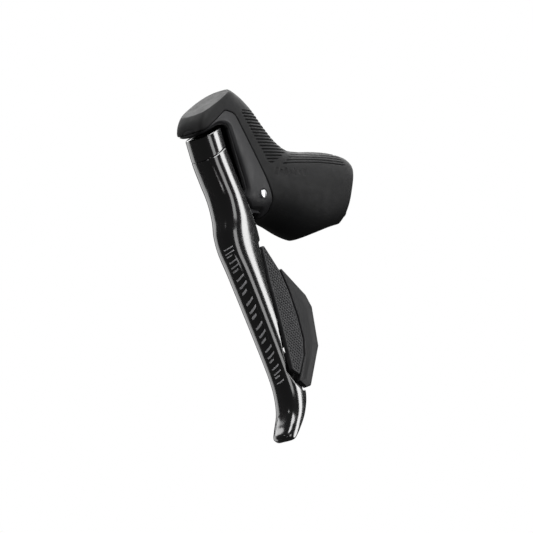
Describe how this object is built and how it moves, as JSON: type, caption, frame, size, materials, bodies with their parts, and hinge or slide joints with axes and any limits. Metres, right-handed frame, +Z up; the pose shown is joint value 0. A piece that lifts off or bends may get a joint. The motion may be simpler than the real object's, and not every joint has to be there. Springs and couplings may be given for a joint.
{
  "type": "brake shift lever",
  "caption": "Left-hand drop-bar brake lever with a rubber-covered hydraulic grip and two electronic shift paddles behind the blade.",
  "frame": {"origin": "centre of the handlebar clamp's bore, midway along the band", "axes": "+Z up with the grip level, +X rearward from the lever towards the bar, -Y outboard on a left-hand lever; the bar's axis leans 22 degrees rearward at its top in the XZ plane"},
  "size_m": [0.1013, 0.036, 0.1687],
  "materials": {
    "bracket_plastic": "satin",
    "hood_rubber": "matte",
    "button_rubber": "matte",
    "band_steel": "satin",
    "bolt_steel": "satin",
    "pin_steel": "polished",
    "spring_steel": "satin",
    "bush_bronze": "satin",
    "blade_gloss": "gloss lacquer",
    "carrier_alloy": "black anodised",
    "piston_alloy": "machined",
    "seal_rubber": "matte",
    "cover_plastic": "matte",
    "cell_steel": "polished",
    "contact_metal": "plated",
    "board_green": "satin",
    "paddle_textured": "textured",
    "paddle_smooth": "matte",
    "lead_jacket": "matte",
    "screw_steel": "satin"
  },
  "bodies": {
    "bracket": {"bracket_body": "bracket_plastic", "bracket_horn": "bracket_plastic", "lever_yoke": "bracket_plastic", "hood_cover": "hood_rubber", "switch_button_board": "board_green", "clamp_band": "band_steel", "clamp_bolt": "bolt_steel", "clamp_nut": "bolt_steel", "clamp_hook_pin": "bolt_steel", "pivot_pin": "pin_steel", "pivot_clip": "spring_steel", "lever_return_spring": "spring_steel", "piston_spring": "spring_steel", "piston_stop_ring": "spring_steel", "reservoir_diaphragm": "seal_rubber", "reservoir_cover": "cover_plastic", "reservoir_screws": "screw_steel", "bleed_screw": "bolt_steel", "bleed_o_ring": "seal_rubber", "coin_cell": "cell_steel", "battery_contact": "contact_metal", "battery_cover": "cover_plastic", "battery_cover_screw": "screw_steel", "control_board": "board_green", "board_cover": "cover_plastic", "switch_lead": "lead_jacket"},
    "hood_button": {"hood_switch_button": "button_rubber"},
    "piston": {"push_rod": "screw_steel", "master_piston": "piston_alloy", "piston_cup_seal": "seal_rubber", "piston_o_ring": "seal_rubber"},
    "lever": {"pivot_bushes": "bush_bronze", "lever_blade": "blade_gloss", "lever_cap": "blade_gloss", "lever_carrier": "carrier_alloy", "lever_cap_screw": "screw_steel", "carrier_rivets": "bolt_steel", "reach_screw": "screw_steel", "free_stroke_screw": "screw_steel", "switch_housing": "cover_plastic", "switch_axle": "pin_steel", "switch_domes": "contact_metal", "switch_housing_screws": "screw_steel"},
    "front_paddle": {"front_switch_paddle": "paddle_textured"},
    "rear_paddle": {"rear_switch_paddle": "paddle_smooth"}
  },
  "joints": [
    {"name": "lever_pull", "type": "hinge", "parent": "bracket", "child": "lever", "pos_m": [-0.0533, 0, -0.0023], "axis": [0, -1, 0], "range_deg": [0, 22], "stiffness_Nm_per_rad": 0.6, "springref_deg": -20.05, "deforming": ["lever_return_spring", "switch_lead"]},
    {"name": "piston_stroke", "type": "slide", "parent": "bracket", "child": "piston", "axis": [1, 0, 0], "range_m": [0, 0.0019], "stiffness_N_per_m": 400, "springref_m": -0.002, "deforming": ["piston_spring"]},
    {"name": "hood_button_press", "type": "slide", "parent": "bracket", "child": "hood_button", "axis": [0, -1, 0], "range_m": [0, 0.0006], "stiffness_N_per_m": 800, "springref_m": -0.0005},
    {"name": "front_paddle_press", "type": "hinge", "parent": "lever", "child": "front_paddle", "pos_m": [-0.0562, -0.0053, -0.037], "axis": [-0.2196, 0.0506, 0.9743], "range_deg": [0, 4], "stiffness_Nm_per_rad": 0.15, "springref_deg": -11.46},
    {"name": "rear_paddle_press", "type": "hinge", "parent": "lever", "child": "rear_paddle", "pos_m": [-0.0562, -0.0053, -0.037], "axis": [-0.2196, 0.0506, 0.9743], "range_deg": [0, 4], "stiffness_Nm_per_rad": 0.15, "springref_deg": -11.46}
  ],
  "couplings": [
    {"joint": "piston_stroke", "follows": "lever_pull", "m_per_rad": 0.0049}
  ]
}
